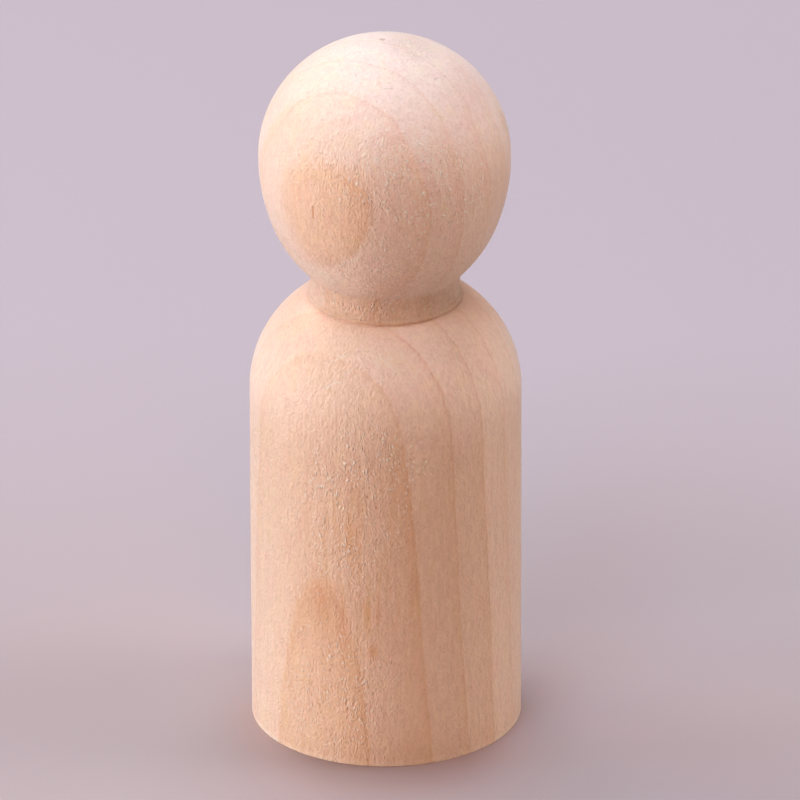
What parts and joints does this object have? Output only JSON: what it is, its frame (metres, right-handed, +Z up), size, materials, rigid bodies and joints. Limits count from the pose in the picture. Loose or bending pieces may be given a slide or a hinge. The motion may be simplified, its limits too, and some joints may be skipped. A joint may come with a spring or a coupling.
{
  "type": "peg doll",
  "caption": "Plain wooden peg doll: an egg-shaped head on a short neck and a straight round body with rounded shoulders and a flat foot.",
  "frame": {"origin": "centre of the flat foot, on the surface that the doll stands on", "axes": "+Z up along the turning axis; -Y is the side that the picture shows from the front, +X to its right"},
  "size_m": [0.0222, 0.0222, 0.0598],
  "materials": {
    "wood": "bare turned wood, fine sanded, with no stain, paint or varnish"
  },
  "bodies": {
    "root": {"turned_doll": "wood"}
  },
  "joints": []
}
